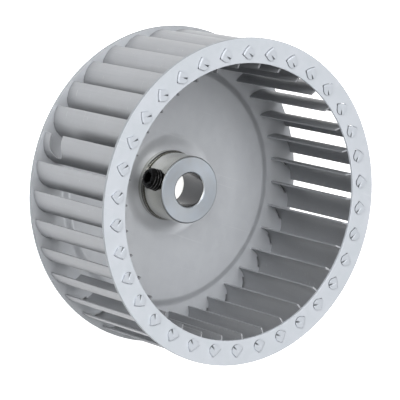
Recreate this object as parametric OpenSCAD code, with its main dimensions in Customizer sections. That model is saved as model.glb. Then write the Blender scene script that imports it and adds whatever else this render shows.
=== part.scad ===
// Single-inlet centrifugal blower wheel with forward-curved blades, pressed from
// sheet steel, with a turned hub and a cup-point set screw.
// The wheel stands on its back: the origin is at its bottom centre, and +Z runs
// along the shaft from the back disc to the inlet ring.
// All lengths are in millimetres and all angles in degrees, counter-clockwise
// when seen from the inlet.

/* [Wheel] */
// Outer diameter of the back disc and the inlet ring
wheel_d = 120; // [104:0.5:150]
// Width from the disc's back face to the ring's front face
wheel_w = 49.5; // [30:0.5:80]
// Bevel on the sheared edges of the disc and the ring
edge_bevel = 0.15; // [0.05:0.05:0.3]

/* [Inlet ring] */
// Radial width of the ring, from its outer edge to the eye
ring_w = 9.2; // [8.6:0.1:13]
// Thickness of the ring's sheet
ring_t = 1; // [0.6:0.1:2]

/* [Back disc] */
// Thickness of the disc's sheet
disc_t = 1; // [0.6:0.1:2]
// Height by which the middle of the disc is pressed up above its rim
web_rise = 1.2; // [0.75:0.05:2]
// Distance from the blades' inner edges in to the pressed step
step_gap = 1.9; // [1:0.1:6]
// Radial width of the pressed step
step_w = 3.5; // [1:0.1:5]
// Diameter of the flat seat under the hub
seat_d = 29.5; // [28:0.5:40]
// Depth of the dish that holds the seat
seat_drop = 0.7; // [0.1:0.05:0.9]
// Radial width of the dish's slope
seat_slope_w = 5; // [2:0.5:10]

/* [Blades] */
// Number of blades
blade_count = 34; // [24:1:38]
// Thickness of the blades' sheet
blade_t = 0.6; // [0.4:0.05:0.8]
// Distance from the rim of the wheel in to the blades' outer edges
blade_rim_inset = 1.4; // [0.8:0.1:3]
// Distance that the blades' inner edges reach into the eye
blade_eye_reach = 1.9; // [0.5:0.1:2.2]
// Angle between a blade and the circle that its inner edge lies on
inner_edge_angle = 95.5; // [85:0.5:105]
// Angle by which a blade's outer edge has turned past its circle
outer_edge_angle = 2.8; // [1:0.1:6]
// Direction of the first blade's arc centre, counted from +X
first_blade_angle = 265.5; // [255:0.5:266]
// Height of the relief on a blade's inner corner under the ring
corner_h = 0.6; // [0.2:0.1:2]
// Width of the relief on a blade's inner corner under the ring
corner_w = 1.5; // [0.5:0.1:2]

/* [Balancing notch] */
// Width of the notch in the first blade
notch_w = 7.9; // [3:0.1:10]
// Depth of the notch, from the blade's outer edge
notch_depth = 9.3; // [6:0.1:11]
// Height of the notch's middle above the disc's back face
notch_h = 9.15; // [7.5:0.05:20]

/* [Folded tabs] */
// Width of a tab and of its folded head
tab_w = 4.2; // [3:0.1:5]
// Length of the folded head, from its fold to its round end
head_l = 4.15; // [3.5:0.05:4.5]
// Place of the tab along the blade's arc, counted from the arc's outermost line
tab_angle = 54.8; // [50:0.2:60]
// Outer radius of the fold
fold_r = 0.45; // [0.2:0.05:0.55]
// Clearance round a tab in its slot
tab_clear = 0.08; // [0.05:0.01:0.15]
// Width of the slot that stays open behind the fold in the ring
ring_slot_gap = 0.15; // [0.1:0.05:0.8]
// Width of the slot that stays open behind the fold in the disc
disc_slot_gap = 0.7; // [0.2:0.05:0.9]
// Radius of the chisel's edge that sets the heads
punch_r = 0.4; // [0.35:0.05:1.5]
// Depth of the chisel's mark at the head's round end
punch_depth = 0.35; // [0.1:0.05:0.35]

/* [Hub] */
// Diameter of the shaft bore
bore_d = 12.7; // [10:0.1:14]
// Diameter of the hub
hub_d = 25.4; // [24:0.1:28]
// Height of the hub above its seat on the disc
hub_h = 14.6; // [14:0.1:24]
// Chamfer on the hub's front edge
hub_chamfer = 0.5; // [0.2:0.1:1.2]
// Chamfer on the front edge of the bore
bore_chamfer = 0.55; // [0.2:0.05:1.2]
// Width by which the foot stands out beyond the hub
foot_lip = 0.6; // [0.2:0.1:1]
// Height of the foot
foot_h = 2.3; // [1:0.1:3]
// Bevel on the foot's front edge
foot_bevel = 0.45; // [0.1:0.05:0.8]
// Width of the groove above the foot
groove_w = 1.1; // [0.5:0.1:1.5]
// Depth of the groove above the foot
groove_depth = 0.7; // [0.3:0.1:1.5]

/* [Hub tail] */
// Diameter of the tail that passes through the disc
tail_d = 18; // [17:0.1:20]
// Diameter of the tail's lip, rolled out behind the disc
lip_d = 22; // [21:0.2:26]
// Thickness of the rolled lip
lip_t = 0.7; // [0.4:0.05:0.8]
// Radial clearance of the tail in the disc
tail_clear = 0.05; // [0.03:0.01:0.1]
// Length over which the bore flares out towards the lip, in front of the disc's back
flare_h = 2.4; // [1:0.1:3]
// Width of the flare's mouth beyond the bore, on the radius
flare_w = 1.9; // [1:0.1:2]

/* [Set screw] */
// Thread diameter of the set screw
screw_d = 8; // [5:0.5:8]
// Length of the set screw
screw_l = 10; // [8:0.5:12]
// Distance from the hub's front face down to the screw's axis
screw_depth = 5.1; // [5:0.1:7]
// Distance from the wheel's axis to the screw's point, as it stands
screw_point_r = 6.45; // [6.4:0.05:8]
// Chamfer on the screw's outer end
screw_chamfer = 0.9; // [0.3:0.1:1.2]
// Diameter of the cup point
cup_d = 5; // [2.5:0.1:5]
// Width of the hexagon socket across its flats
socket_af = 4; // [2:0.5:4]
// Depth of the hexagon socket
socket_depth = 4; // [2:0.5:5]
// Radial clearance of the screw in the hub, over its thread
screw_clear = 0.05; // [0.03:0.01:0.1]

/* [Hidden] */
function blade_name(k) = str("blade_", k < 10 ? "0" : "", k);

$fn = 180;
arc_fn = 120;
curve_steps = 8;
past = 1;

// Which way a blade's heads fold: at the ring towards the arc's centre, at the disc away from it
inward = 1;
outward = -1;

wheel_r = wheel_d / 2;
eye_r = wheel_r - ring_w;

// Heights of the main faces. The folded heads behind the disc stand on the ground.
disc_back_z = blade_t;
disc_front_z = disc_back_z + disc_t;
ring_front_z = disc_back_z + wheel_w;
ring_back_z = ring_front_z - ring_t;

// A blade is one circular arc that meets its inner and outer circle at the given angles.
blade_out_r = wheel_r - blade_rim_inset;
blade_in_r = eye_r - blade_eye_reach;
arc_r = (blade_out_r ^ 2 - blade_in_r ^ 2)
    / (2 * (blade_out_r * cos(outer_edge_angle) - blade_in_r * cos(inner_edge_angle)));
arc_centre_r = sqrt(arc_r ^ 2 + blade_in_r ^ 2 - 2 * arc_r * blade_in_r * cos(inner_edge_angle));
function arc_angle_at(r) = acos((r ^ 2 - arc_centre_r ^ 2 - arc_r ^ 2) / (2 * arc_centre_r * arc_r));
arc_start = -arc_angle_at(blade_out_r);
arc_end = arc_angle_at(blade_in_r);
face_in = arc_r - blade_t / 2;
face_out = arc_r + blade_t / 2;

// Radii and heights of the pressed disc
step_out_r = blade_in_r - step_gap;
dish_in_r = seat_d / 2;
dish_out_r = dish_in_r + seat_slope_w;
tail_r = tail_d / 2;
disc_hole_r = tail_r + tail_clear;
seat_back_z = disc_back_z + web_rise - seat_drop;
seat_front_z = seat_back_z + disc_t;

// Radii and heights of the hub
bore_r = bore_d / 2;
hub_r = hub_d / 2;
foot_r = hub_r + foot_lip;
foot_top_z = seat_front_z + foot_h;
groove_r = hub_r - groove_depth;
hub_front_z = seat_front_z + hub_h;
lip_r = lip_d / 2;
flare_r = bore_r + flare_w;
screw_z = hub_front_z - screw_depth;
screw_r = screw_d / 2;
screw_hole_r = screw_r + screw_clear;
cup_r = cup_d / 2;

// Smooth step from 0 to 1 as u goes from 0 to 1
function smooth(u) = (1 - cos(180 * max(0, min(1, u)))) / 2;

// Height of the pressed sheet's back above the disc's back face, at a radius
function pressed_z(r) = web_rise * smooth((step_out_r - r) / step_w)
    - seat_drop * smooth((dish_out_r - r) / seat_slope_w);

// Puts its children in the frame of one blade's arc: +X points away from the wheel's axis
module at_blade(k) {
    rotate([0, 0, first_blade_angle + (k - 1) * 360 / blade_count])
        translate([arc_centre_r, 0, 0])
            children();
}

// The stretch of a blade's arc between two radii and two heights
module arc_wall(r_from, r_to, z_from, z_to, from_angle, to_angle) {
    rotate_extrude(start = from_angle, angle = to_angle - from_angle, $fn = arc_fn)
        translate([r_from, z_from])
            square([r_to - r_from, z_to - z_from]);
}

// Radius, about the arc's centre, of the blade's face on which the fold lies
function fold_line_r(way) = way == inward ? face_out : face_in;

// Outline of a tab's slot, in the blade's frame, open behind the fold
module slot_outline(way) {
    slot_in_r = face_in - (way == inward ? tab_clear : disc_slot_gap);
    slot_out_r = face_out + (way == inward ? ring_slot_gap : tab_clear);
    intersection() {
        difference() {
            circle(slot_out_r, $fn = arc_fn);
            circle(slot_in_r, $fn = arc_fn);
        }
        rotate(tab_angle)
            translate([0, -tab_w / 2 - tab_clear])
                square([slot_out_r + past, tab_w + 2 * tab_clear]);
    }
}

// One slot through a sheet for each blade's tab
module tab_slots(z_from, z_to, way) {
    for (k = [1 : blade_count])
        at_blade(k)
            translate([0, 0, z_from - past])
                linear_extrude(z_to - z_from + 2 * past)
                    slot_outline(way);
}

// Outline of a folded head, a tongue with a round end, across the fold line
module head_outline(way) {
    end_x = tab_w / 2 - head_l;
    translate([fold_line_r(way), 0])
        mirror([way == inward ? 0 : 1, 0]) {
            translate([end_x, 0])
                circle(tab_w / 2, $fn = arc_fn);
            translate([end_x, -tab_w / 2])
                square([past - end_x, tab_w]);
        }
}

// Section of a tab through a sheet at z = 0 to sheet_t, with its head folded over on top
module fold_section(sheet_t, way) {
    top = sheet_t + blade_t;
    fold_x = fold_line_r(way);
    bend_x = fold_x - way * blade_t;
    head_from = fold_x - way * (head_l + past);
    polygon(concat(
        [[bend_x, -past], [fold_x, -past]],
        [for (i = [0 : curve_steps])
            [fold_x - way * fold_r * (1 - cos(90 * i / curve_steps)),
             top - fold_r * (1 - sin(90 * i / curve_steps))]],
        [[head_from, top], [head_from, sheet_t], [bend_x, sheet_t]]
    ));
}

// A tab with its folded head, through a sheet that starts at z = 0
module folded_tab(sheet_t, way) {
    sweep = 100;
    punch_run = head_l * 0.75;
    punch_tilt = atan(punch_depth / punch_run);
    rotate([0, 0, tab_angle])
        difference() {
            intersection() {
                rotate_extrude(start = -sweep / 2, angle = sweep, $fn = arc_fn)
                    fold_section(sheet_t, way);
                translate([0, 0, -2 * past])
                    linear_extrude(sheet_t + blade_t + 3 * past)
                        head_outline(way);
            }
            translate([fold_line_r(way) - way * head_l, 0, sheet_t + blade_t - punch_depth + punch_r])
                rotate([0, way * (90 - punch_tilt), 0])
                    translate([0, 0, -head_l])
                        cylinder(h = 3 * head_l, r = punch_r, $fn = arc_fn);
        }
}

// Cuts the wall's end back to its shoulders, on both sides of the tab
module shoulder_cuts(z_from, z_to) {
    reach = 2 * arc_r;
    rotate([0, 0, tab_angle])
        for (side = [0, 1])
            mirror([0, side, 0])
                translate([-reach, tab_w / 2, z_from])
                    cube([2 * reach, reach, z_to - z_from]);
}

// Cuts the relief at the blade's inner corner under the ring
module corner_relief() {
    rotate([0, 0, arc_end])
        translate([face_in - past, 0, ring_back_z])
            rotate([90, 0, 90])
                linear_extrude(blade_t + 2 * past)
                    polygon([[-corner_w, 0], [-corner_w, past], [past, past], [past, -corner_h], [0, -corner_h]]);
}

// Cuts the round-bottomed notch in from the blade's outer edge
module balancing_notch() {
    notch_r = notch_w / 2;
    bottom_angle = arc_start + notch_depth / arc_r * 180 / PI;
    centre_angle = bottom_angle - asin(notch_r / arc_r);
    rotate([0, 0, centre_angle])
        translate([arc_r / 2, 0, disc_back_z + notch_h])
            rotate([90, 0, 90])
                linear_extrude(arc_r) {
                    circle(notch_r, $fn = arc_fn);
                    translate([-2 * arc_r, -notch_r])
                        square([2 * arc_r, notch_w]);
                }
}

// A forward-curved blade with a folded tab at each end
module blade(k) {
    color("lightgray")
        at_blade(k)
            difference() {
                union() {
                    difference() {
                        arc_wall(face_in, face_out, disc_back_z, ring_front_z, arc_start, arc_end);
                        shoulder_cuts(disc_back_z - past, disc_front_z);
                        shoulder_cuts(ring_back_z, ring_front_z + past);
                    }
                    translate([0, 0, ring_back_z])
                        folded_tab(ring_t, inward);
                    translate([0, 0, disc_front_z])
                        mirror([0, 0, 1])
                            folded_tab(disc_t, outward);
                }
                corner_relief();
                if (k == 1) balancing_notch();
            }
}

// The flat ring at the inlet, with a slot for each blade's tab
module inlet_ring() {
    color("gainsboro")
        difference() {
            rotate_extrude()
                polygon([
                    [eye_r, ring_back_z],
                    [wheel_r, ring_back_z],
                    [wheel_r, ring_front_z - edge_bevel],
                    [wheel_r - edge_bevel, ring_front_z],
                    [eye_r + edge_bevel, ring_front_z],
                    [eye_r, ring_front_z - edge_bevel]
                ]);
            tab_slots(ring_back_z, ring_front_z, inward);
        }
}

// The pressed back disc: flat rim with slots, stepped-up web and dished seat for the hub
module back_disc() {
    web_radii = concat(
        [disc_hole_r],
        [for (i = [0 : curve_steps]) dish_in_r + seat_slope_w * i / curve_steps],
        [for (i = [0 : curve_steps]) step_out_r - step_w + step_w * i / curve_steps]
    );
    steps = len(web_radii);
    color("silver")
        difference() {
            rotate_extrude()
                polygon(concat(
                    [for (r = web_radii) [r, disc_back_z + pressed_z(r)]],
                    [
                        [wheel_r, disc_back_z],
                        [wheel_r, disc_front_z - edge_bevel],
                        [wheel_r - edge_bevel, disc_front_z]
                    ],
                    [for (i = [steps - 1 : -1 : 0]) [web_radii[i], disc_front_z + pressed_z(web_radii[i])]]
                ));
            tab_slots(disc_back_z, disc_front_z, outward);
        }
}

// The turned hub: body, groove and foot in front of the disc, tail and rolled lip behind it
module hub() {
    color("lightsteelblue")
        difference() {
            rotate_extrude()
                polygon([
                    [bore_r, seat_back_z + flare_h],
                    [flare_r, seat_back_z - lip_t],
                    [lip_r - edge_bevel, seat_back_z - lip_t],
                    [lip_r, seat_back_z - lip_t + edge_bevel],
                    [lip_r, seat_back_z],
                    [tail_r, seat_back_z],
                    [tail_r, seat_front_z],
                    [foot_r, seat_front_z],
                    [foot_r, foot_top_z - foot_bevel],
                    [foot_r - foot_bevel, foot_top_z],
                    [groove_r, foot_top_z],
                    [groove_r, foot_top_z + groove_w],
                    [hub_r, foot_top_z + groove_w],
                    [hub_r, hub_front_z - hub_chamfer],
                    [hub_r - hub_chamfer, hub_front_z],
                    [bore_r + bore_chamfer, hub_front_z],
                    [bore_r, hub_front_z - bore_chamfer]
                ]);
            translate([0, 0, screw_z])
                rotate([90, 0, 0])
                    cylinder(h = foot_r + past, r = screw_hole_r, $fn = arc_fn);
        }
}

// The set screw, pointing in along +Y: hexagon socket outside, cup point inside
module set_screw() {
    point_chamfer = screw_r - cup_r;
    cup_depth = cup_r * tan(30);
    color("dimgray")
        translate([0, -screw_point_r, screw_z])
            rotate([90, 0, 0])
                difference() {
                    rotate_extrude($fn = arc_fn)
                        polygon([
                            [0, cup_depth],
                            [cup_r, 0],
                            [screw_r, point_chamfer],
                            [screw_r, screw_l - screw_chamfer],
                            [screw_r - screw_chamfer, screw_l],
                            [0, screw_l]
                        ]);
                    translate([0, 0, screw_l - socket_depth])
                        cylinder(h = socket_depth + past, d = socket_af / cos(30), $fn = 6);
                }
}

back_disc();
inlet_ring();
hub();
set_screw();
for (k = [1 : blade_count])
    blade(k);
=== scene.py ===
"""Forward-curved blower wheel: the looks of every piece, built round the fixed frame.

Run as a script, it registers its classes, makes the stage and then each piece of the
wheel, and fits each piece over the solid of the same name. Lengths are in metres.
"""

import math

import bmesh
import bpy
from bpy.props import FloatProperty, FloatVectorProperty, PointerProperty, StringProperty
from mathutils import Matrix, Vector


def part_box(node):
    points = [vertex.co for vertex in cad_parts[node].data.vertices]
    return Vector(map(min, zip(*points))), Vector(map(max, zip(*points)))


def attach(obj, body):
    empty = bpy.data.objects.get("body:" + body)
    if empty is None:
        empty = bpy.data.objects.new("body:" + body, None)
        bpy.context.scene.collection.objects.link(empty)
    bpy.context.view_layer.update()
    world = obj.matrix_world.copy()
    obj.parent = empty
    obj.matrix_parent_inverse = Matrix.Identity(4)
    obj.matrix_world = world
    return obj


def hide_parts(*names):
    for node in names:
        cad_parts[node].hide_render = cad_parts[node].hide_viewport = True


bl_info = {
    "name": "Fan impeller",
    "version": (1, 0, 0),
    "blender": (4, 5, 0),
    "location": "3D View > Sidebar > Fan impeller",
    "description": "Builds a forward-curved blower wheel of sheet steel round its frame, and its stage",
    "category": "Object",
}

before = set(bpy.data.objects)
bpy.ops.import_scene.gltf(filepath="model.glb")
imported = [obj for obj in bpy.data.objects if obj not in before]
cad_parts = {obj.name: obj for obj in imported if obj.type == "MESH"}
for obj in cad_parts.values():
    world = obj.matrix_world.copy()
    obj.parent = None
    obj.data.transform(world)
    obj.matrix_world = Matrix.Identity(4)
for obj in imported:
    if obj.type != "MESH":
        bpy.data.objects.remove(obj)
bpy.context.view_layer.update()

MM = 0.001
TURN = 2 * math.pi
# Points of a mesh that lie closer than this become one
WELD = 1e-7

# A Mix node's inputs for its two colours and its output for the mixed one
COLOUR_A, COLOUR_B, MIXED = 6, 7, 2
# The values of a noise that count as none and as full: for soft patches, and for clearer ones
SOFT_NOISE = {"From Min": 0.3, "From Max": 0.7}
CLEAR_NOISE = {"From Min": 0.35, "From Max": 0.65}

# Pieces and bodies of the frame, and the heights that they give
WHEEL_BODY, SCREW_BODY = "wheel", "screw"
RING, DISC, HUB, SCREW = "inlet_ring", "back_disc", "hub", "set_screw"
BLADES = sorted(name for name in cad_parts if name.startswith("blade_"))
RING_BACK_Z, RING_FRONT_Z = (corner.z for corner in map(Vector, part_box(RING)))
DISC_BACK_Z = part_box(DISC)[0][2]
HEADS_BACK_Z, HEADS_FRONT_Z = (corner[2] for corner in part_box(BLADES[0]))
WHEEL_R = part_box(DISC)[1][0]
HUB_FRONT_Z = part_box(HUB)[1][2]
SCREW_BOX = [Vector(corner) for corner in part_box(SCREW)]
SCREW_R = (SCREW_BOX[1].x - SCREW_BOX[0].x) / 2
SCREW_Z = (SCREW_BOX[0].z + SCREW_BOX[1].z) / 2

# Where the heads' round ends lie, with their creases: within this radius at the ring, beyond it at the disc
RING_ENDS_R, DISC_ENDS_R = WHEEL_R - 5.9 * MM, WHEEL_R - 4 * MM

# The lamps: azimuth from +X and elevation in degrees, and strength in the middle of the patch
LAMPS = (
    (180, 67, 5.0),
    (203, 67, 3.7),
    (249, 37, 6.9),
    (249, 52, 0.9),
    (276, 37, 2.8),
    (203, 52, 0.5),
    (60, 71, 1.0),
    (10, 60, 1.5),
    (0, 90, 1.1),
    (340, 35, 2.9),
)
# How fast a lamp's patch fades from its middle: at 30 it is down to a third some 15 degrees out
LAMP_SHARPNESS = 30
# Strength of the studio round the lamps
STUDIO_LIGHT = 0.01

# Which way a blade's heads fold: at the ring towards the arc's centre, at the disc away from it
INWARD, OUTWARD = 1, -1


def length(name, description, default_mm):
    """A property that holds a length."""
    return FloatProperty(
        name=name, description=description, default=default_mm * MM, min=0.0, subtype="DISTANCE",
        unit="LENGTH", precision=5,
    )


def angle(name, description, degrees):
    """A property that holds an angle."""
    return FloatProperty(name=name, description=description, default=math.radians(degrees), subtype="ANGLE")


def colour(name, description, default):
    """A property that holds an sRGB colour as a hex code."""
    return StringProperty(name=name, description=description, default=default, maxlen=7)


class WheelSettings(bpy.types.PropertyGroup):
    """Sizes of the disc and the ring."""

    ring_w: length("Ring width", "From the ring's outer edge to the eye", 9.2)
    disc_t: length("Disc thickness", "Sheet of the disc", 1.0)
    web_rise: length("Web rise", "Height by which the middle of the disc stands above its rim", 1.2)
    step_gap: length("Step gap", "From the blades' inner edges in to the pressed step", 1.9)
    step_w: length("Step width", "Radial width of the pressed step", 3.5)
    seat_d: length("Seat diameter", "Flat seat under the hub", 29.5)
    seat_drop: length("Seat drop", "Depth of the dish that holds the seat", 0.7)
    seat_slope_w: length("Seat slope", "Radial width of the dish's slope", 5.0)
    edge_round: length("Edge rounding", "Rounding of the sheared edges", 0.15)
    slot_round: length("Slot rounding", "Rounding of the slots' edges", 0.05)


class BladeSettings(bpy.types.PropertyGroup):
    """Sizes of the blades, their tabs and the notch."""

    sheet_t: length("Thickness", "Sheet of the blades", 0.6)
    rim_inset: length("Rim inset", "From the rim in to the blades' outer edges", 1.4)
    eye_reach: length("Eye reach", "Distance that the inner edges reach into the eye", 1.9)
    inner_edge: angle("Inner edge", "Angle between a blade and its inner circle", 95.5)
    outer_edge: angle("Outer edge", "Angle by which a blade has turned past its outer circle", 2.8)
    first_at: angle("First blade", "Direction of the first blade's arc centre", 265.5)
    corner_h: length("Corner height", "Relief on the inner corner under the ring", 0.6)
    corner_w: length("Corner width", "Relief on the inner corner under the ring", 1.5)
    notch_w: length("Notch width", "Balancing notch in the first blade", 7.9)
    notch_depth: length("Notch depth", "From the blade's outer edge", 9.3)
    notch_h: length("Notch height", "Middle of the notch above the disc's back face", 9.15)
    tab_w: length("Tab width", "Width of a tab and its head", 4.2)
    head_l: length("Head length", "From the fold to the round end", 4.15)
    tab_at: angle("Tab place", "Along the arc, from its outermost line", 54.8)
    fold_r: length("Fold radius", "Outer radius of the fold", 0.45)
    tab_clear: length("Tab clearance", "Round a tab in its slot", 0.08)
    ring_slot_gap: length("Ring slot gap", "Part of the ring's slot that stays open behind the fold", 0.15)
    disc_slot_gap: length("Disc slot gap", "Part of the disc's slot that stays open behind the fold", 0.7)
    punch_r: length("Chisel radius", "Edge of the chisel that sets the heads", 0.4)
    punch_depth: length("Chisel depth", "Depth of its mark at the round end", 0.35)
    edge_round: length("Edge rounding", "Rounding of the sheared edges", 0.07)


class HubSettings(bpy.types.PropertyGroup):
    """Sizes of the turned hub."""

    bore_d: length("Bore", "Diameter of the shaft bore", 12.7)
    hub_d: length("Diameter", "Diameter of the hub", 25.4)
    hub_h: length("Height", "Height above the seat on the disc", 14.6)
    chamfer: length("Front chamfer", "Chamfer of the front edge", 0.5)
    bore_chamfer: length("Bore chamfer", "Chamfer of the bore's front edge", 0.55)
    foot_lip: length("Foot width", "Width by which the foot stands out", 0.6)
    foot_h: length("Foot height", "Height of the foot", 2.3)
    foot_bevel: length("Foot bevel", "Bevel on the foot's front edge", 0.45)
    groove_w: length("Groove width", "Groove above the foot", 1.1)
    groove_depth: length("Groove depth", "Groove above the foot", 0.7)
    tail_d: length("Tail diameter", "Tail that passes through the disc", 18.0)
    tail_clear: length("Tail clearance", "Round the tail in the disc's hole", 0.05)
    lip_d: length("Lip diameter", "Lip rolled out behind the disc", 22.0)
    lip_t: length("Lip thickness", "Lip rolled out behind the disc", 0.7)
    flare_h: length("Flare height", "Length over which the bore flares out", 2.4)
    flare_w: length("Flare width", "Mouth of the flare beyond the bore", 1.9)
    edge_round: length("Edge rounding", "Rounding that the turning tool leaves", 0.08)


class ScrewSettings(bpy.types.PropertyGroup):
    """Sizes of the set screw."""

    pitch: length("Pitch", "Distance between two turns of the thread", 1.25)
    thread_h: length("Thread depth", "From the crest to the root", 0.68)
    chamfer: length("Chamfer", "Chamfer of the outer end", 0.9)
    cup_d: length("Cup", "Diameter of the cup point", 5.0)
    socket_af: length("Socket", "Hexagon socket across its flats", 4.0)
    socket_depth: length("Socket depth", "Depth of the hexagon socket", 4.0)
    clearance: length("Clearance", "Round the thread in the hub", 0.05)


class FinishSettings(bpy.types.PropertyGroup):
    """Colours of the finishes."""

    # The ring's light, bluish tone is painted light from the lamps above, on the same galvanised sheet as the
    # disc and the blades
    ring: colour("Ring", "Galvanised sheet of the ring, at its lightest", "#CACED5")
    ring_shadow: colour("Ring, darker", "Its darker patches", "#C3C9CF")
    disc: colour("Disc", "Galvanised sheet of the disc, at its lightest", "#C5C8CC")
    disc_shadow: colour("Disc, darker", "Its darker patches", "#BEC1C6")
    # The blades' darker tone is painted shade of the wheel's inside, on the same galvanised sheet as the ring
    blade: colour("Blades", "Galvanised sheet of the blades, at its lightest", "#94969A")
    blade_shadow: colour("Blades, darker", "Their darker patches", "#8E9093")
    scuffed: colour("Scuffs", "Bright hairlines that handling leaves on the sheet", "#F2F3F4")
    # The heads' light, bluish tone is painted light, as on the lit ring, over zinc that the punch has pressed
    # smooth
    lit_burnish: colour("Heads", "Zinc of the tab heads, burnished by the punch", "#C3C8CF")
    # The dark tone of the creases and the round ends is painted shade
    crease_shade: colour("Creases", "Bare steel and grime in the chisel's marks and on the round ends", "#5E6266")
    # Bare steel of the sheared edges, and painted shade on the rims' walls
    sheared: colour("Sheared rims", "Bare steel on the outer edges of the ring and the disc", "#808589")
    # The face's light, bluish tone is painted light and the side's darker, straw tone painted shade, on one
    # zinc coat
    zinc_face: colour("Zinc, face", "Clear zinc coat on the front face of the hub", "#C3CAD2")
    zinc_side: colour("Zinc, side", "The same coat on its side, where it is straw-coloured", "#B5B4AD")
    zinc_shadow: colour("Zinc, patches", "Darker patches of the coat", "#B9B9B8")
    # Bare steel of the bore, darkened further as painted shade in the bore
    reamed_and_shaded: colour("Bore", "Bare steel of the bore, reamed after plating", "#525355")
    oxide: colour("Oxide", "Black oxide of the set screw", "#0D0D0D")
    oxide_rubbed: colour("Oxide, rubbed", "The rubbed crests of its thread", "#666666")


class StageSettings(bpy.types.PropertyGroup):
    """The camera, the lamps and the floor."""

    camera_distance: length("Camera distance", "From the aim point to the camera", 974.5)
    camera_azimuth: angle("Camera azimuth", "Round the wheel, from the side of the set screw", 2.747)
    camera_elevation: angle("Camera elevation", "Above the floor", 53.777)
    camera_roll: angle("Camera roll", "Turn of the picture", 103.863)
    camera_aim: FloatVectorProperty(
        name="Camera aim", description="Point that the camera looks at", default=(0.00271, -0.00015, 0.02479),
        subtype="TRANSLATION", unit="LENGTH", precision=5,
    )
    camera_lens: FloatProperty(
        name="Lens", description="Focal length for a 36 mm sensor, in mm", default=237.18, min=1.0,
    )
    floor_colour: colour("Floor", "Paper of the floor", "#F4F4F4")
    floor_r: length("Floor radius", "Radius of the round floor", 2500)
    floor_glow: FloatProperty(
        name="Floor glow", description="White that the camera and metal see on the paper, where 1 is full",
        default=0.8, min=0.0, max=1.0,
    )


def linear(hex_code):
    """Turns an sRGB hex code into linear red, green and blue, and full alpha."""
    parts = [int(hex_code[i : i + 2], 16) / 255 for i in (1, 3, 5)]
    return tuple(p / 12.92 if p <= 0.04045 else ((p + 0.055) / 1.055) ** 2.4 for p in parts) + (1.0,)


def add_node(tree, kind, inputs, output=0, **settings):
    """Adds a shader node with its settings, fills inputs with values or links, and returns an output."""
    made = tree.nodes.new("ShaderNode" + kind)
    for name, value in settings.items():
        setattr(made, name, value)
    for key, value in inputs.items():
        if isinstance(value, bpy.types.NodeSocket):
            tree.links.new(value, made.inputs[key])
        else:
            made.inputs[key].default_value = value
    return made.outputs[output] if made.outputs else None


def new_material(name):
    """An empty node material, with its node tree."""
    material = bpy.data.materials.new(name)
    material.use_nodes = True
    material.node_tree.nodes.clear()
    return material, material.node_tree


def place_in(tree, size):
    """Coordinates on the wheel that grow by one over a size, given in m along each axis."""
    where = add_node(tree, "TexCoord", {}, "Object")
    return add_node(tree, "VectorMath", {0: where, 1: size}, operation="DIVIDE")


def radius_and_height(tree):
    """Distance from the wheel's axis and height, as two sockets."""
    where = add_node(tree, "TexCoord", {}, "Object")
    flat = add_node(tree, "VectorMath", {0: where, 1: (1, 1, 0)}, operation="MULTIPLY")
    radius = add_node(tree, "VectorMath", {0: flat}, "Value", operation="LENGTH")
    return radius, add_node(tree, "SeparateXYZ", {0: where}, "Z")


def sheared_rim_and_shade(tree, base, finish):
    """Darkens the wheel's outer edge, where the shears have left bare steel, and as painted shade on the
    rim's wall.
    """
    radius, _ = radius_and_height(tree)
    coated_to, bare_from, most = WHEEL_R - 0.14 * MM, WHEEL_R - 0.08 * MM, 0.9
    bare = add_node(
        tree, "MapRange", {"Value": radius, "From Min": coated_to, "From Max": bare_from, "To Max": most}
    )
    sheared = linear(finish.sheared)
    return add_node(tree, "Mix", {0: bare, COLOUR_A: base, COLOUR_B: sheared}, MIXED, data_type="RGBA")


def heads_light_and_shade(tree, base, finish):
    """Paints the heads of the tabs lighter, as painted light on zinc that the punch has pressed smooth, and
    what lies deeper darker, as painted shade.
    """
    radius, height = radius_and_height(tree)
    # Painted shade from 0.06 mm under a head's face, at its round end: a dark crease and outline
    fade, skin, depth, edge = 0.2 * MM, 0.06 * MM, 0.2 * MM, 0.5 * MM
    # What makes a head, what lies deep in it and what is its end, each with where it starts and is full
    at_ring = (
        (height, RING_FRONT_Z - fade, RING_FRONT_Z),
        (height, HEADS_FRONT_Z - skin, HEADS_FRONT_Z - depth),
        (radius, RING_ENDS_R + edge, RING_ENDS_R),
    )
    at_disc = (
        (height, DISC_BACK_Z + fade, DISC_BACK_Z),
        (height, HEADS_BACK_Z + skin, HEADS_BACK_Z + depth),
        (radius, DISC_ENDS_R - edge, DISC_ENDS_R),
    )
    heads, painted_shade = 0.0, 0.0
    for spans in (at_ring, at_disc):
        on_head, deep, at_end = (
            add_node(tree, "MapRange", {"Value": value, "From Min": start, "From Max": full})
            for value, start, full in spans
        )
        deep_end = add_node(tree, "Math", {0: deep, 1: at_end}, operation="MULTIPLY")
        marked = add_node(tree, "Math", {0: on_head, 1: deep_end}, operation="MULTIPLY")
        heads = add_node(tree, "Math", {0: on_head, 1: heads}, operation="ADD")
        painted_shade = add_node(tree, "Math", {0: marked, 1: painted_shade}, operation="ADD")
    lit_burnish, crease_shade = linear(finish.lit_burnish), linear(finish.crease_shade)
    # The heads painted light, and their deep marks and ends painted shade
    lit_heads = add_node(tree, "Mix", {0: heads, COLOUR_A: base, COLOUR_B: lit_burnish}, MIXED, data_type="RGBA")
    return add_node(tree, "Mix", {0: painted_shade, COLOUR_A: lit_heads, COLOUR_B: crease_shade}, MIXED, data_type="RGBA")


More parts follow.
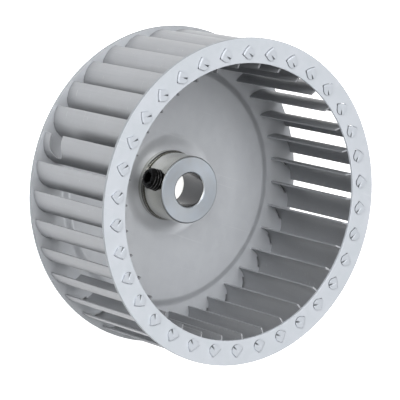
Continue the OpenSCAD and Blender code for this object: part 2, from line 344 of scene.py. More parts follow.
def galvanised_sheet(name, tint, shadow, marks_along, metallic, roughness, finish, wear_and_painted_light):
    """Rolled steel sheet with a dull coat of zinc, whose rolling marks run along an axis, and its wear, with
    painted light and shade.
    """
    material, tree = new_material(name)
    # Patches of the zinc bath some 20 mm wide: the sheet isn't one even grey
    cloud_w, cloud_share = 20 * MM, 0.6
    cloud_place = place_in(tree, (cloud_w,) * 3)
    clouds = add_node(tree, "TexNoise", {"Vector": cloud_place, "Scale": 1.0, "Detail": 3.0})
    cloud_shade = add_node(tree, "MapRange", {"Value": clouds, **SOFT_NOISE, "To Max": cloud_share})
    # Zinc crystals 2.5 mm wide, each a hair lighter or darker than the next: the faint spangle
    crystal_w, spangle_share = 2.5 * MM, 0.4
    crystal_place = place_in(tree, (crystal_w,) * 3)
    crystals = add_node(tree, "TexVoronoi", {"Vector": crystal_place, "Scale": 1.0}, "Color")
    spangle = add_node(tree, "SeparateColor", {"Color": crystals})
    spangle_shade = add_node(tree, "MapRange", {"Value": spangle, "To Max": spangle_share})
    light_share = add_node(tree, "Math", {0: cloud_shade, 1: spangle_shade}, operation="ADD")
    dark, light = linear(shadow), linear(tint)
    base = add_node(tree, "Mix", {0: light_share, COLOUR_A: dark, COLOUR_B: light}, MIXED, data_type="RGBA")
    # A few scuffs from handling, 40 mm long and mostly across the marks: bright hairlines
    scuff_w, scuff_l, scuff_share = 0.5 * MM, 40 * MM, 0.12
    scuff_size = [scuff_w] * 3
    scuff_size[1 if marks_along == 0 else 0] = scuff_l
    scuffs = add_node(tree, "TexNoise", {"Vector": place_in(tree, scuff_size), "Scale": 1.0, "Detail": 0.0})
    peaks = {"From Min": 0.78, "From Max": 0.84}
    scuffs = add_node(tree, "MapRange", {"Value": scuffs, **peaks, "To Max": scuff_share})
    scuffed = linear(finish.scuffed)
    base = add_node(tree, "Mix", {0: scuffs, COLOUR_A: base, COLOUR_B: scuffed}, MIXED, data_type="RGBA")
    # The wear, with painted light and shade on the heads and the rims
    base = wear_and_painted_light(tree, base, finish)
    # Rolling marks 0.15 mm wide, drawn 0.3 mm wide so that a pixel can show them: a soft grain one way
    mark_w, mark_l = 0.3 * MM, 25 * MM
    mark_size = [mark_w] * 3
    mark_size[marks_along] = mark_l
    marks = add_node(tree, "TexNoise", {"Vector": place_in(tree, mark_size), "Scale": 1.0, "Detail": 1.0})
    bump = add_node(tree, "Bump", {"Strength": 0.15, "Distance": 0.01 * MM, "Height": marks})
    # The marks and the crystals make the sheet a little duller and glossier from place to place
    gloss, spangle_gloss = 0.05, 0.02
    by_marks = add_node(tree, "MapRange", {"Value": marks, **SOFT_NOISE, "To Min": -gloss, "To Max": gloss})
    by_crystals = add_node(
        tree, "MapRange", {"Value": spangle, "To Min": -spangle_gloss, "To Max": spangle_gloss}
    )
    uneven = add_node(tree, "Math", {0: by_marks, 1: by_crystals}, operation="ADD")
    dullness = add_node(tree, "Math", {0: uneven, 1: roughness}, operation="ADD")
    shader = add_node(
        tree, "BsdfPrincipled",
        {"Base Color": base, "Metallic": metallic, "Roughness": dullness, "Normal": bump},
    )
    add_node(tree, "OutputMaterial", {"Surface": shader})
    return material


def zinc_plated_turning(name, finish, bore_r):
    """Turned steel under a thin bright coat of zinc, with the tool's marks round the wheel's axis."""
    material, tree = new_material(name)
    radius, height = radius_and_height(tree)
    # The tool fed 0.12 mm a turn, drawn 0.25 mm so that a pixel can show it: fine rings round the axis
    feed_w = 0.25 * MM
    track = add_node(tree, "CombineXYZ", {0: radius, 1: height})
    rings = add_node(tree, "VectorMath", {0: track, 1: (feed_w,) * 3}, operation="DIVIDE")
    marks = add_node(tree, "TexNoise", {"Vector": rings, "Scale": 1.0, "Detail": 1.0})
    bump = add_node(tree, "Bump", {"Strength": 0.2, "Distance": 0.01 * MM, "Height": marks})
    # The clear coat is bluish and light on the face, as painted light, and straw-coloured and darker on the
    # side, as painted shade, with darker patches 7 mm wide
    side_to, face_from = HUB_FRONT_Z - 0.5 * MM, HUB_FRONT_Z - 0.2 * MM
    on_face = add_node(tree, "MapRange", {"Value": height, "From Min": side_to, "From Max": face_from})
    on_side, in_front = linear(finish.zinc_side), linear(finish.zinc_face)
    coat = add_node(tree, "Mix", {0: on_face, COLOUR_A: on_side, COLOUR_B: in_front}, MIXED, data_type="RGBA")
    patch_w, patch_share = 7 * MM, 0.35
    patch_place = place_in(tree, (patch_w,) * 3)
    patches = add_node(tree, "TexNoise", {"Vector": patch_place, "Scale": 1.0, "Detail": 2.0})
    patches = add_node(tree, "MapRange", {"Value": patches, **CLEAR_NOISE, "To Max": patch_share})
    darker = linear(finish.zinc_shadow)
    coat = add_node(tree, "Mix", {0: patches, COLOUR_A: coat, COLOUR_B: darker}, MIXED, data_type="RGBA")
    # The bore was reamed after plating: bare steel, greyer than the zinc; its darkness is also painted shade
    # in the bore
    reamed_to, plated_from, reamed_and_shaded = bore_r + 0.02 * MM, bore_r + 0.1 * MM, linear(finish.reamed_and_shaded)
    in_bore = add_node(tree, "MapRange", {"Value": radius, "From Min": plated_from, "From Max": reamed_to})
    base = add_node(tree, "Mix", {0: in_bore, COLOUR_A: coat, COLOUR_B: reamed_and_shaded}, MIXED, data_type="RGBA")
    # The side was turned with a finer feed than the face, so it mirrors more
    smooth, rough, duller_face = 0.18, 0.26, 0.34
    side = add_node(tree, "MapRange", {"Value": marks, **SOFT_NOISE, "To Min": smooth, "To Max": rough})
    face = add_node(tree, "MapRange", {"Value": on_face, "To Max": duller_face})
    dullness = add_node(tree, "Math", {0: side, 1: face}, operation="ADD")
    round_axis = add_node(tree, "Tangent", {}, direction_type="RADIAL", axis="Z")
    shader = add_node(
        tree, "BsdfPrincipled",
        {"Base Color": base, "Metallic": 1.0, "Roughness": dullness, "Anisotropic": 0.2, "Normal": bump,
         "Tangent": round_axis},
    )
    add_node(tree, "OutputMaterial", {"Surface": shader})
    return material


def black_oxide(name, finish, axis_z, crest_r):
    """Blackened steel with a film of oil, rubbed a little greyer on the crests of its thread."""
    material, tree = new_material(name)
    where = add_node(tree, "TexCoord", {}, "Object")
    centred = add_node(tree, "VectorMath", {0: where, 1: (0, 0, axis_z)}, operation="SUBTRACT")
    from_axis = add_node(tree, "VectorMath", {0: centred, 1: (1, 0, 1)}, operation="MULTIPLY")
    radius = add_node(tree, "VectorMath", {0: from_axis}, "Value", operation="LENGTH")
    # Only the outermost 0.12 mm of the thread rubs against the hub's
    black_to, rubbed_from = crest_r - 0.12 * MM, crest_r - 0.02 * MM
    crest = add_node(tree, "MapRange", {"Value": radius, "From Min": black_to, "From Max": rubbed_from})
    # The oil lies in films 1 mm wide, glossier and duller
    film_w, glossy, dull = 1 * MM, 0.22, 0.42
    oil = add_node(tree, "TexNoise", {"Vector": place_in(tree, (film_w,) * 3), "Scale": 1.0, "Detail": 2.0})
    dullness = add_node(tree, "MapRange", {"Value": oil, **SOFT_NOISE, "To Min": glossy, "To Max": dull})
    least_worn = 0.2
    worn = add_node(tree, "MapRange", {"Value": oil, **CLEAR_NOISE, "To Min": least_worn})
    worn = add_node(tree, "Math", {0: crest, 1: worn}, operation="MULTIPLY")
    black, rubbed = linear(finish.oxide), linear(finish.oxide_rubbed)
    base = add_node(tree, "Mix", {0: worn, COLOUR_A: black, COLOUR_B: rubbed}, MIXED, data_type="RGBA")
    # The oxide is porous and drinks most of the light, so its mirror is weaker than a paint's
    shader = add_node(
        tree, "BsdfPrincipled", {"Base Color": base, "Roughness": dullness, "Specular IOR Level": 0.2}
    )
    add_node(tree, "OutputMaterial", {"Surface": shader})
    return material


def new_object(name, form):
    """An object in the scene that holds a bmesh, which is freed."""
    mesh = bpy.data.meshes.new(name)
    form.to_mesh(mesh)
    form.free()
    made = bpy.data.objects.new(name, mesh)
    bpy.context.scene.collection.objects.link(made)
    return made


def apply_modifiers(piece):
    """Puts what the modifiers make into the piece's own mesh."""
    bpy.context.view_layer.update()
    done = piece.evaluated_get(bpy.context.evaluated_depsgraph_get())
    old = piece.data
    piece.data = bpy.data.meshes.new_from_object(done)
    piece.modifiers.clear()
    bpy.data.meshes.remove(old)


def cut(piece, tools, operation="DIFFERENCE"):
    """Cuts a piece with other objects, which are then deleted."""
    for tool in tools:
        change = piece.modifiers.new("cut", "BOOLEAN")
        change.operation = operation
        change.solver = "EXACT"
        change.object = tool
    apply_modifiers(piece)
    for tool in tools:
        bpy.data.objects.remove(tool)


def round_edges(piece, radius, limit=math.radians(50), segments=2):
    """Rounds the edges that are sharper than a limit."""
    change = piece.modifiers.new("edges", "BEVEL")
    change.width = radius
    change.segments = segments
    change.limit_method = "ANGLE"
    change.angle_limit = limit
    change.use_clamp_overlap = False
    apply_modifiers(piece)


def shade(piece, limit=math.radians(35)):
    """Shades a piece smooth up to a limit, with the larger faces kept flat."""
    piece.data.shade_smooth()
    piece.data.set_sharp_from_angle(angle=limit)
    change = piece.modifiers.new("flat faces", "WEIGHTED_NORMAL")
    change.keep_sharp = True
    change.weight = 100
    apply_modifiers(piece)


def place(piece, node, body, material):
    """Gives a finished piece its material, and lets it stand for its solid on a body."""
    piece.data.materials.clear()
    piece.data.materials.append(material)
    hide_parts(node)
    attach(piece, body)


def filleted(corners, steps=4):
    """An outline with rounded corners, from points of radius, height and rounding."""
    outline = []
    count = len(corners)
    for i, (r, z, rounding) in enumerate(corners):
        here = Vector((r, z))
        if not rounding:
            outline.append(here)
            continue
        back = (Vector(corners[i - 1][:2]) - here).normalized()
        ahead = (Vector(corners[(i + 1) % count][:2]) - here).normalized()
        half = back.angle(ahead) / 2
        reach = rounding / math.tan(half)
        centre = here + (back + ahead).normalized() * rounding / math.sin(half)
        first, last = here + back * reach - centre, here + ahead * reach - centre
        sweep = first.angle_signed(last)
        for step in range(steps + 1):
            outline.append(centre + Matrix.Rotation(-sweep * step / steps, 2) @ first)
    return outline


def lathe(name, outline, segments=360):
    """A closed outline of radius and height, turned about the wheel's axis."""
    form = bmesh.new()
    rows = []
    for point in outline:
        rows.append([
            form.verts.new((point[0] * math.cos(a), point[0] * math.sin(a), point[1]))
            for a in (TURN * k / segments for k in range(segments))
        ])
    for i, row in enumerate(rows):
        other = rows[(i + 1) % len(rows)]
        for k in range(segments):
            after = (k + 1) % segments
            form.faces.new((row[k], row[after], other[after], other[k]))
    bmesh.ops.recalc_face_normals(form, faces=form.faces)
    return new_object(name, form)


def loft(form, sections, where):
    """Adds a closed body to a bmesh, through outlines with as many points each, given with their heights."""
    rows = [[form.verts.new(where @ Vector((x, y, z))) for x, y in outline] for outline, z in sections]
    form.faces.new(rows[0])
    form.faces.new(rows[-1])
    for row, other in zip(rows, rows[1:]):
        for i in range(len(row)):
            j = (i + 1) % len(row)
            form.faces.new((row[i], row[j], other[j], other[i]))


def circle_outline(r, count):
    """Points of a circle."""
    return [(r * math.cos(TURN * i / count), r * math.sin(TURN * i / count)) for i in range(count)]


class BladeArc:
    """The circular arc of a blade, the same in the solids: its circle, its ends and its places."""

    def __init__(self, wheel, blade):
        out_r = WHEEL_R - blade.rim_inset
        in_r = WHEEL_R - wheel.ring_w - blade.eye_reach
        self.inner_edge_r = in_r
        spread_r = out_r * math.cos(blade.outer_edge) - in_r * math.cos(blade.inner_edge)
        self.r = (out_r**2 - in_r**2) / (2 * spread_r)
        self.centre_r = math.sqrt(self.r**2 + in_r**2 - 2 * self.r * in_r * math.cos(blade.inner_edge))
        self.start = -self.angle_at(out_r)
        self.end = self.angle_at(in_r)
        self.face_in = self.r - blade.sheet_t / 2
        self.face_out = self.r + blade.sheet_t / 2
        self.first_at = blade.first_at

    def angle_at(self, r):
        """Angle about the arc's centre of the point at a distance from the wheel's axis."""
        return math.acos((r**2 - self.centre_r**2 - self.r**2) / (2 * self.centre_r * self.r))

    def fold_line_r(self, way):
        """Radius about the arc's centre of the face on which the fold lies."""
        return self.face_out if way == INWARD else self.face_in

    def frame_of(self, k):
        """Where the arc of blade k lies: +X leads away from the wheel's axis."""
        turn = Matrix.Rotation(self.first_at + TURN * k / len(BLADES), 4, "Z")
        return turn @ Matrix.Translation((self.centre_r, 0, 0))


def slot_outline(arc, blade, way, wider=0.0, steps=8):
    """Outline of a tab's slot, with +X along the tab's direction, open behind the fold."""
    inner = arc.face_in - wider - (blade.tab_clear if way == INWARD else blade.disc_slot_gap)
    outer = arc.face_out + wider + (blade.ring_slot_gap if way == INWARD else blade.tab_clear)
    half = blade.tab_w / 2 + blade.tab_clear + wider
    across = [half * (2 * i / steps - 1) for i in range(steps + 1)]
    return [(math.sqrt(outer**2 - y**2), y) for y in across] + [
        (math.sqrt(inner**2 - y**2), y) for y in reversed(across)
    ]


def cut_slots(sheet, arc, blade, way, low, high, soft):
    """Cuts a slot through a sheet for each blade's tab, with its edges eased."""
    form = bmesh.new()
    narrow, wide = slot_outline(arc, blade, way), slot_outline(arc, blade, way, soft)
    sections = [(wide, low - MM), (wide, low), (narrow, low + soft), (narrow, high - soft), (wide, high),
                (wide, high + MM)]
    for k in range(len(BLADES)):
        loft(form, sections, arc.frame_of(k) @ Matrix.Rotation(blade.tab_at, 4, "Z"))
    bmesh.ops.recalc_face_normals(form, faces=form.faces)
    cut(sheet, [new_object("slots", form)])


class IMPELLER_OT_inlet_ring(bpy.types.Operator):
    """Makes the flat ring at the inlet"""

    bl_idname = "impeller.inlet_ring"
    bl_label = "Inlet ring"

    def execute(self, context):
        wheel, blade = context.scene.impeller_wheel, context.scene.impeller_blade
        finish = context.scene.impeller_finish
        soft = wheel.edge_round
        burr = soft / 3
        eye_r = WHEEL_R - wheel.ring_w
        ring = lathe("ring", filleted([
            (eye_r, RING_BACK_Z, burr), (WHEEL_R, RING_BACK_Z, burr),
            (WHEEL_R, RING_FRONT_Z, soft), (eye_r, RING_FRONT_Z, soft),
        ]))
        cut_slots(ring, BladeArc(wheel, blade), blade, INWARD, RING_BACK_Z, RING_FRONT_Z, wheel.slot_round)
        shade(ring)
        # The ring's light, bluish tone is painted light from above
        place(ring, RING, WHEEL_BODY, galvanised_sheet(
            "galvanised_ring", finish.ring, finish.ring_shadow, marks_along=0, metallic=0.25, roughness=0.5,
            finish=finish, wear_and_painted_light=sheared_rim_and_shade,
        ))
        return {"FINISHED"}


class IMPELLER_OT_back_disc(bpy.types.Operator):
    """Makes the pressed back disc"""

    bl_idname = "impeller.back_disc"
    bl_label = "Back disc"
    slope_steps = 16

    def execute(self, context):
        scene = context.scene
        wheel, blade, hub = scene.impeller_wheel, scene.impeller_blade, scene.impeller_hub
        finish = scene.impeller_finish
        arc = BladeArc(wheel, blade)
        hole_r = hub.tail_d / 2 + hub.tail_clear
        step_r = arc.inner_edge_r - wheel.step_gap
        dish_in = wheel.seat_d / 2
        dish_out = dish_in + wheel.seat_slope_w

        def ease(u):
            """A smooth way from 0 to 1 over the same span."""
            u = max(0.0, min(1.0, u))
            return (1 - math.cos(math.pi * u)) / 2

        def rise(r):
            """Height of the web over the rim at a radius."""
            return wheel.web_rise * ease((step_r - r) / wheel.step_w) - wheel.seat_drop * ease(
                (dish_out - r) / wheel.seat_slope_w
            )

        n = self.slope_steps
        radii = [hole_r]
        radii += [dish_in + wheel.seat_slope_w * i / n for i in range(n + 1)]
        radii += [step_r - wheel.step_w + wheel.step_w * i / n for i in range(n + 1)]
        soft = wheel.edge_round
        front = DISC_BACK_Z + wheel.disc_t
        under = [(r, DISC_BACK_Z + rise(r), 0) for r in radii]
        over = [(r, front + rise(r), 0) for r in reversed(radii)]
        rim = [(WHEEL_R, DISC_BACK_Z, soft / 3), (WHEEL_R, front, soft)]
        disc = lathe("disc", filleted(under + rim + over))
        cut_slots(disc, arc, blade, OUTWARD, DISC_BACK_Z, front, wheel.slot_round)
        shade(disc)
        place(disc, DISC, WHEEL_BODY, galvanised_sheet(
            "galvanised_disc", finish.disc, finish.disc_shadow, marks_along=0, metallic=0.5, roughness=0.42,
            finish=finish, wear_and_painted_light=sheared_rim_and_shade,
        ))
        return {"FINISHED"}


class SheetGrid:
    """A folded sheet: rows of points on its two faces, and the columns that each row has."""

    def __init__(self):
        self.rows = []

    def add_row(self, first, outer, inner):
        """Adds a row that starts at a column, with its points on the outer and inner face."""
        self.rows.append((first, outer, inner))

    def to_bmesh(self, where):
        """The closed sheet as a bmesh, with its cut edges."""
        form = bmesh.new()
        rows = []
        for first, *faces in self.rows:
            rows.append((first, *([form.verts.new(where @ Vector(p)) for p in face] for face in faces)))
        sides = {}
        for (first_a, *faces_a), (first_b, *faces_b) in zip(rows, rows[1:]):
            start = max(first_a, first_b)
            stop = min(first_a + len(faces_a[0]), first_b + len(faces_b[0]))
            for c in range(start, stop - 1):
                for face_a, face_b in zip(faces_a, faces_b):
                    form.faces.new((face_a[c - first_a], face_a[c + 1 - first_a],
                                    face_b[c + 1 - first_b], face_b[c - first_b]))
                outer = (faces_a[0][c - first_a], faces_a[0][c + 1 - first_a],
                         faces_b[0][c + 1 - first_b], faces_b[0][c - first_b])
                inner = (faces_a[1][c - first_a], faces_a[1][c + 1 - first_a],
                         faces_b[1][c + 1 - first_b], faces_b[1][c - first_b])
                for i in range(4):
                    j = (i + 1) % 4
                    key = frozenset((outer[i], outer[j]))
                    if key in sides:
                        del sides[key]
                    else:
                        sides[key] = (outer[i], outer[j], inner[j], inner[i])
        for corners in sides.values():
            form.faces.new(corners)
        bmesh.ops.remove_doubles(form, verts=form.verts, dist=WELD)
        bmesh.ops.dissolve_degenerate(form, edges=form.edges, dist=WELD)
        bmesh.ops.recalc_face_normals(form, faces=form.faces)
        return form


class IMPELLER_OT_blades(bpy.types.Operator):
    """Makes the blades, each with a folded tab at both ends"""

    bl_idname = "impeller.blades"
    bl_label = "Blades"
    tab_columns = 16
    mark_columns = 4
    head_rows = 14
    fold_steps = 4
    leg_steps = 2
    body_rows = 10
    long_side_columns = 11
    short_side_columns = 6
    notch_steps = 48
    # Share of a head's length that the chisel's mark takes, from its round end
    mark_share = 0.75

    def execute(self, context):
        wheel, blade = context.scene.impeller_wheel, context.scene.impeller_blade
        finish = context.scene.impeller_finish
        arc = BladeArc(wheel, blade)
        # The blades' sheet is set darker than the ring's: painted shade of the wheel's inside
        material = galvanised_sheet(
            "galvanised_blade", finish.blade, finish.blade_shadow, marks_along=2, metallic=0.3, roughness=0.5,
            finish=finish, wear_and_painted_light=heads_light_and_shade,
        )
        grid = self.blade_grid(arc, blade, wheel)
        for k, name in enumerate(BLADES):
            piece = new_object("fan_" + name, grid.to_bmesh(arc.frame_of(k)))
            if k == 0:
                self.cut_notch(piece, arc, blade, wheel)
            round_edges(piece, blade.edge_round)
            shade(piece)
            place(piece, name, WHEEL_BODY, material)
        return {"FINISHED"}

    def blade_grid(self, arc, blade, wheel):
        """The rows of a blade, from the head behind the disc to the head at the inlet."""
        half = blade.tab_w / 2
        disc_front = DISC_BACK_Z + wheel.disc_t
        ring_t = RING_FRONT_Z - RING_BACK_Z
        n = self.tab_columns
        across = [half * math.sin(math.pi / 2 * (2 * i / n - 1)) for i in range(n + 1)]
        mark = [blade.punch_r * math.sin(math.pi / 2 * i / self.mark_columns)
                for i in range(-self.mark_columns, self.mark_columns + 1)]
        beside_mark = 1.3 * blade.punch_r
        across = sorted(mark + [y for y in across if abs(y) > beside_mark])
        before, after = self.side_columns(arc, blade)
        grid = SheetGrid()

        def tab_rows(way, base, step, sheet_t):
            """Rows of a tab from its shoulder to its round end, as fold side and bend side."""
            fold_r, bend_r = arc.fold_line_r(way), arc.fold_line_r(-way)
            fold_x = [math.sqrt(fold_r**2 - y**2) for y in across]
            bend_x = [math.sqrt(bend_r**2 - y**2) for y in across]
            top = sheet_t + blade.sheet_t
            end_x = fold_r - way * (blade.head_l - half)
            rows = []
            for i in range(1, self.leg_steps + 1):
                h = sheet_t * i / self.leg_steps
                rows.append(tuple([(x, y, h) for x, y in zip(side_x, across)] for side_x in (fold_x, bend_x)))
            bend = rows[-1][1]
            for i in range(self.fold_steps + 1):
                a = math.pi / 2 * i / self.fold_steps
                dx, dh = blade.fold_r * (1 - math.cos(a)), blade.fold_r * (1 - math.sin(a))
                rows.append(([(x - way * dx, y, top - dh) for x, y in zip(fold_x, across)], bend))
            for i in range(1, self.head_rows + 1):
                s = i / self.head_rows
                upper, lower = [], []
                for x, b, y in zip(fold_x, bend_x, across):
                    tip = end_x - way * math.sqrt(max(0.0, half**2 - y**2))
                    ux = (1 - s) * (x - way * blade.fold_r) + s * tip
                    upper.append((ux, y, top - self.punch(ux, y, fold_r, way, blade)))
                    lower.append(((1 - s) * b + s * tip, y, sheet_t))
                rows.append((upper, lower))
            turn = Matrix.Rotation(blade.tab_at, 3, "Z")
            placed = []
            for faces in rows:
                both = [[turn @ Vector((x, y, base + step * h)) for x, y, h in face] for face in faces]
                placed.append(both if way == INWARD else both[::-1])
            return placed

        first = len(before)
        for outer, inner in reversed(tab_rows(OUTWARD, disc_front, -1, wheel.disc_t)):
            grid.add_row(first, outer, inner)
        for i in range(self.body_rows + 1):
            z = disc_front + (RING_BACK_Z - disc_front) * i / self.body_rows
            outer, inner = [], []
            for points, r in ((outer, arc.face_out), (inner, arc.face_in)):
                edge = math.asin(half / r)
                angles = [arc.start + (blade.tab_at - edge - arc.start) * u for u in before]
                angles += [blade.tab_at + math.asin(y / r) for y in across]
                angles += [arc.end + (blade.tab_at + edge - arc.end) * u for u in after]
                for a in angles:
                    relief = max(0.0, 1 - (arc.end - a) * arc.r / blade.corner_w) * blade.corner_h
                    points.append((r * math.cos(a), r * math.sin(a), min(z, RING_BACK_Z - relief)))
            grid.add_row(0, outer, inner)
        for outer, inner in tab_rows(INWARD, RING_BACK_Z, 1, ring_t):
            grid.add_row(first, outer, inner)
        return grid

    def side_columns(self, arc, blade):
        """Shares of the way from the arc's ends to the tab's edges, on both sides of the tab."""
        n, m = self.long_side_columns, self.short_side_columns
        before = [i / n for i in range(n)]
        relief = blade.corner_w / arc.r / (arc.end - blade.tab_at - math.asin(blade.tab_w / 2 / arc.r))
        after = [1 - (1 - relief) * i / m for i in range(1, m + 1)] + [relief * 2 / 3, relief / 3, 0.0]
        return before, after

    def punch(self, x, y, fold_r, way, blade):
        """Depth of the chisel's mark at a point of a head."""
        run = blade.head_l * self.mark_share
        along = way * (fold_r - x)
        floor = blade.punch_depth * (along - blade.head_l + run) / run
        if floor <= 0:
            return 0.0
        drop = blade.punch_r - math.sqrt(max(0.0, blade.punch_r**2 - y**2))
        return max(0.0, floor - drop)

    def cut_notch(self, piece, arc, blade, wheel):
        """Cuts the round-bottomed notch in from the blade's outer edge."""
        r = blade.notch_w / 2
        bottom = arc.start + blade.notch_depth / arc.r
        middle = bottom - math.asin(r / arc.r)
        z = DISC_BACK_Z + blade.notch_h
        n = self.notch_steps
        past_edge = -3 * arc.r
        outline = [(past_edge, -r), (0, -r)]
        outline += [(r * math.sin(a), -r * math.cos(a)) for a in (math.pi * i / n for i in range(1, n))]
        outline += [(0, r), (past_edge, r)]
        where = arc.frame_of(0) @ Matrix.Rotation(middle, 4, "Z") @ Matrix.Translation((0, 0, z))
        # The outline's x leads along the arc, its y up, and the cut runs across the sheet
        where = where @ Matrix(((0, 0, 1, 0), (1, 0, 0, 0), (0, 1, 0, 0), (0, 0, 0, 1)))
        form = bmesh.new()
        loft(form, [(outline, arc.r / 2), (outline, 3 * arc.r / 2)], where)
        bmesh.ops.recalc_face_normals(form, faces=form.faces)
        cut(piece, [new_object("notch", form)])


class IMPELLER_OT_hub(bpy.types.Operator):
    """Makes the turned hub"""

    bl_idname = "impeller.hub"
    bl_label = "Hub"
    around = 256
    around_hole = 96

    def execute(self, context):
        scene = context.scene
        hub, wheel, screw = scene.impeller_hub, scene.impeller_wheel, scene.impeller_screw
        seat = HUB_FRONT_Z - hub.hub_h
        back = seat - wheel.disc_t
        bore_r, hub_r, foot_r = hub.bore_d / 2, hub.hub_d / 2, hub.hub_d / 2 + hub.foot_lip
        groove_r = hub_r - hub.groove_depth
        foot_top = seat + hub.foot_h
        soft = hub.edge_round
        outline = filleted([
            (bore_r, back + hub.flare_h, soft),
            (bore_r + hub.flare_w, back - hub.lip_t, soft),
            (hub.lip_d / 2, back - hub.lip_t, 2 * soft),
            (hub.lip_d / 2, back, soft),
            (hub.tail_d / 2, back, 0),
            (hub.tail_d / 2, seat, 0),
            (foot_r, seat, soft),
            (foot_r, foot_top - hub.foot_bevel, soft),
            (foot_r - hub.foot_bevel, foot_top, soft),
            (groove_r, foot_top, soft),
            (groove_r, foot_top + hub.groove_w, soft),
            (hub_r, foot_top + hub.groove_w, soft),
            (hub_r, HUB_FRONT_Z - hub.chamfer, soft),
            (hub_r - hub.chamfer, HUB_FRONT_Z, soft),
            (bore_r + hub.bore_chamfer, HUB_FRONT_Z, soft),
            (bore_r, HUB_FRONT_Z - hub.bore_chamfer, soft),
        ])
        turned = lathe("turned_hub", outline, self.around)
        hole = bmesh.new()
        outline = circle_outline(SCREW_R + screw.clearance, self.around_hole)
        where = Matrix.Translation((0, 0, SCREW_Z)) @ Matrix.Rotation(math.pi / 2, 4, "X")
        loft(hole, [(outline, 0), (outline, foot_r + MM)], where)
        bmesh.ops.recalc_face_normals(hole, faces=hole.faces)
        cut(turned, [new_object("hole", hole)])
        round_edges(turned, 1.5 * soft, limit=math.radians(60))
        shade(turned)
        place(turned, HUB, WHEEL_BODY, zinc_plated_turning(
            "zinc_plated_turning", scene.impeller_finish, bore_r
        ))
        return {"FINISHED"}


class IMPELLER_OT_set_screw(bpy.types.Operator):
    """Makes the set screw with its thread, socket and cup point"""

    bl_idname = "impeller.set_screw"
    bl_label = "Set screw"
    around = 96
    around_thread = 72

    def execute(self, context):
        screw = context.scene.impeller_screw
        long = SCREW_BOX[1].y - SCREW_BOX[0].y
        where = Matrix.Translation((0, SCREW_BOX[1].y, SCREW_Z)) @ Matrix.Rotation(math.pi / 2, 4, "X")
        piece = self.blank(screw, SCREW_R, long)
        cut(piece, [self.thread(screw, SCREW_R, long)], "INTERSECT")
        cut(piece, [self.socket(screw, long)])
        piece.data.transform(where)
        shade(piece, limit=math.radians(28))
        finish = context.scene.impeller_finish
        place(piece, SCREW, SCREW_BODY, black_oxide("black_oxide", finish, SCREW_Z, SCREW_R))
        return {"FINISHED"}

    def blank(self, screw, r, long):
        """The turned blank with its chamfers and its cup point."""
        cup_r, cup_slope = screw.cup_d / 2, math.radians(30)
        # Turned as a closed ring round a hole 0.04 mm wide, which is too small to show
        tiny = 0.02 * MM
        soft = 0.06 * MM
        return lathe("screw", filleted([
            (tiny, cup_r * math.tan(cup_slope), 0), (cup_r, 0, soft), (r, r - cup_r, soft),
            (r, long - screw.chamfer, soft), (r - screw.chamfer, long, soft), (tiny, long, 0),
        ]), self.around)

    def thread(self, screw, r, long):
        """A threaded rod that is longer than the screw."""
        # Widths of a crest and a flank as shares of the pitch, with two turns to spare at both ends
        crest, flank, spare = 0.125, 0.3125, 2
        profile = [(0.0, 0.0), (crest, 0.0), (crest + flank, 1.0), (1 - flank, 1.0)]
        around = self.around_thread
        turns = math.ceil(long / screw.pitch) + 2 * spare
        form = bmesh.new()
        columns = []
        for j in range(around + 1):
            column = []
            for i in range(turns * len(profile)):
                share, depth = profile[i % len(profile)]
                z = screw.pitch * (i // len(profile) + share + j / around - spare)
                point = Vector((r - depth * screw.thread_h, 0, z))
                column.append(form.verts.new(Matrix.Rotation(TURN * j / around, 3, "Z") @ point))
            columns.append(column)
        for a, b in zip(columns, columns[1:]):
            for i in range(len(a) - 1):
                form.faces.new((a[i], b[i], b[i + 1], a[i + 1]))
        bmesh.ops.remove_doubles(form, verts=form.verts, dist=WELD)
        for end in (-1, 1):
            rim = [e for e in form.edges if e.is_boundary and (e.verts[0].co.z > long / 2) == (end > 0)]
            bmesh.ops.contextual_create(form, geom=rim)
        bmesh.ops.recalc_face_normals(form, faces=form.faces)
        return new_object("thread", form)

    def socket(self, screw, long):
        """The hexagon socket, with its flat bottom."""
        form = bmesh.new()
        r = screw.socket_af / 2 / math.cos(math.pi / 6)
        low = long - screw.socket_depth
        corners = circle_outline(r, 6)
        loft(form, [(corners, low), (corners, long + MM)], Matrix.Identity(4))
        bmesh.ops.recalc_face_normals(form, faces=form.faces)
        return new_object("socket", form)


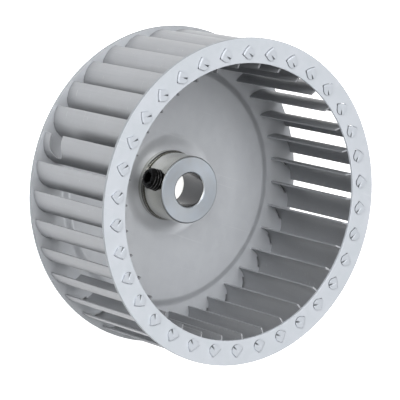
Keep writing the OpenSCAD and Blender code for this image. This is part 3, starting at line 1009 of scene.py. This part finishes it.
class IMPELLER_OT_stage(bpy.types.Operator):
    """Makes the floor, the lamps, the world and the camera"""

    bl_idname = "impeller.stage"
    bl_label = "Stage"

    def execute(self, context):
        settings = context.scene.impeller_stage
        self.make_floor(settings)
        self.make_lights()
        self.make_camera(context, settings)
        context.scene.view_settings.view_transform = "Standard"
        return {"FINISHED"}

    def make_floor(self, settings):
        """White paper, which is seen and mirrored brighter than it is lit, but not under the wheel, save
        below the bore, where the glow is painted light.
        """
        form = bmesh.new()
        bmesh.ops.create_circle(form, cap_ends=True, segments=96, radius=settings.floor_r)
        floor = new_object("floor", form)
        material, tree = new_material("white_paper")
        radius, _ = radius_and_height(tree)
        # The paper glows from a little inside the wheel's edge outwards, and again under the bore, where the
        # wheel shades it: painted light
        edge, bore_view_r, fade = 3 * MM, 12 * MM, 2 * MM
        outside, in_bore = (
            add_node(tree, "MapRange", {"Value": radius, "From Min": start, "From Max": full})
            for start, full in ((WHEEL_R - edge, WHEEL_R), (bore_view_r + fade, bore_view_r))
        )
        glow_mask = add_node(tree, "Math", {0: outside, 1: in_bore}, operation="MAXIMUM")
        shown = 0.0
        for kind in ("Is Camera Ray", "Is Glossy Ray", "Is Transmission Ray"):
            ray = add_node(tree, "LightPath", {}, kind)
            shown = add_node(tree, "Math", {0: ray, 1: shown}, operation="MAXIMUM")
        seen = add_node(tree, "Math", {0: shown, 1: glow_mask}, operation="MULTIPLY")
        glow = add_node(tree, "Math", {0: seen, 1: settings.floor_glow}, operation="MULTIPLY")
        paper = add_node(tree, "BsdfDiffuse", {"Color": linear(settings.floor_colour)})
        white = add_node(tree, "Emission", {"Color": (1, 1, 1, 1), "Strength": glow})
        both = add_node(tree, "AddShader", {0: paper, 1: white})
        add_node(tree, "OutputMaterial", {"Surface": both})
        floor.data.materials.append(material)

    def make_lights(self):
        """Large soft lamps round the wheel, as bright patches of the world, over an even pale studio."""
        world = bpy.data.worlds.new("studio")
        bpy.context.scene.world = world
        world.use_nodes = True
        tree = world.node_tree
        tree.nodes.clear()
        where = add_node(tree, "TexCoord", {}, "Generated")
        total = STUDIO_LIGHT
        for azimuth, elevation, strength in LAMPS:
            a, e = math.radians(azimuth), math.radians(elevation)
            towards = (math.cos(e) * math.cos(a), math.cos(e) * math.sin(a), math.sin(e))
            dot = add_node(tree, "VectorMath", {0: where, 1: towards}, "Value", operation="DOT_PRODUCT")
            away = add_node(tree, "Math", {0: dot, 1: 1.0}, operation="SUBTRACT")
            steep = add_node(tree, "Math", {0: away, 1: LAMP_SHARPNESS}, operation="MULTIPLY")
            fade = add_node(tree, "Math", {0: steep}, operation="EXPONENT")
            glow = add_node(tree, "Math", {0: fade, 1: strength}, operation="MULTIPLY")
            total = add_node(tree, "Math", {0: glow, 1: total}, operation="ADD")
        # The camera sees plain white where the floor ends
        camera_ray = add_node(tree, "LightPath", {}, "Is Camera Ray")
        shown = add_node(tree, "Math", {0: total, 1: camera_ray}, operation="MAXIMUM")
        back = add_node(tree, "Background", {"Color": (1, 1, 1, 1), "Strength": shown})
        add_node(tree, "OutputWorld", {"Surface": back})

    def make_camera(self, context, settings):
        """The camera at the photo's angle."""
        data = bpy.data.cameras.new("camera")
        data.sensor_width = 36
        data.lens = settings.camera_lens
        data.clip_start = 0.01
        data.clip_end = 20
        camera = bpy.data.objects.new("camera", data)
        context.scene.collection.objects.link(camera)
        azimuth, elevation = settings.camera_azimuth, settings.camera_elevation
        level = Vector((math.sin(azimuth), -math.cos(azimuth), 0))
        back = level * math.cos(elevation) + Vector((0, 0, math.sin(elevation)))
        camera.location = Vector(settings.camera_aim) + back * settings.camera_distance
        upright = (-back).to_track_quat("-Z", "Y").to_matrix()
        camera.rotation_euler = (upright @ Matrix.Rotation(settings.camera_roll, 3, "Z")).to_euler()
        context.scene.camera = camera


class IMPELLER_PT_sidebar(bpy.types.Panel):
    """Lists the stage and the pieces, and their settings"""

    bl_idname = "IMPELLER_PT_sidebar"
    bl_label = "Fan impeller"
    bl_space_type = "VIEW_3D"
    bl_region_type = "UI"
    bl_category = "Fan impeller"

    def draw(self, context):
        for operator in OPERATORS:
            self.layout.operator(operator.bl_idname)
        for name, group in SETTINGS.items():
            box = self.layout.box()
            box.label(text=group.__doc__)
            for setting in group.__annotations__:
                box.prop(getattr(context.scene, name), setting)


OPERATORS = (
    IMPELLER_OT_stage, IMPELLER_OT_inlet_ring, IMPELLER_OT_back_disc, IMPELLER_OT_blades, IMPELLER_OT_hub,
    IMPELLER_OT_set_screw,
)
SETTINGS = {
    "impeller_stage": StageSettings,
    "impeller_finish": FinishSettings,
    "impeller_wheel": WheelSettings,
    "impeller_blade": BladeSettings,
    "impeller_hub": HubSettings,
    "impeller_screw": ScrewSettings,
}
CLASSES = tuple(SETTINGS.values()) + OPERATORS + (IMPELLER_PT_sidebar,)


def register():
    """Registers the classes and gives the scene their settings."""
    for one in CLASSES:
        bpy.utils.register_class(one)
    for name, group in SETTINGS.items():
        setattr(bpy.types.Scene, name, PointerProperty(type=group))


def unregister():
    """Takes away the settings and the classes."""
    for name in SETTINGS:
        delattr(bpy.types.Scene, name)
    for one in reversed(CLASSES):
        bpy.utils.unregister_class(one)


def main():
    """Builds the stage and every piece."""
    register()
    bpy.ops.impeller.stage()
    bpy.ops.impeller.inlet_ring()
    bpy.ops.impeller.back_disc()
    bpy.ops.impeller.blades()
    bpy.ops.impeller.hub()
    bpy.ops.impeller.set_screw()


if __name__ == "__main__":
    main()
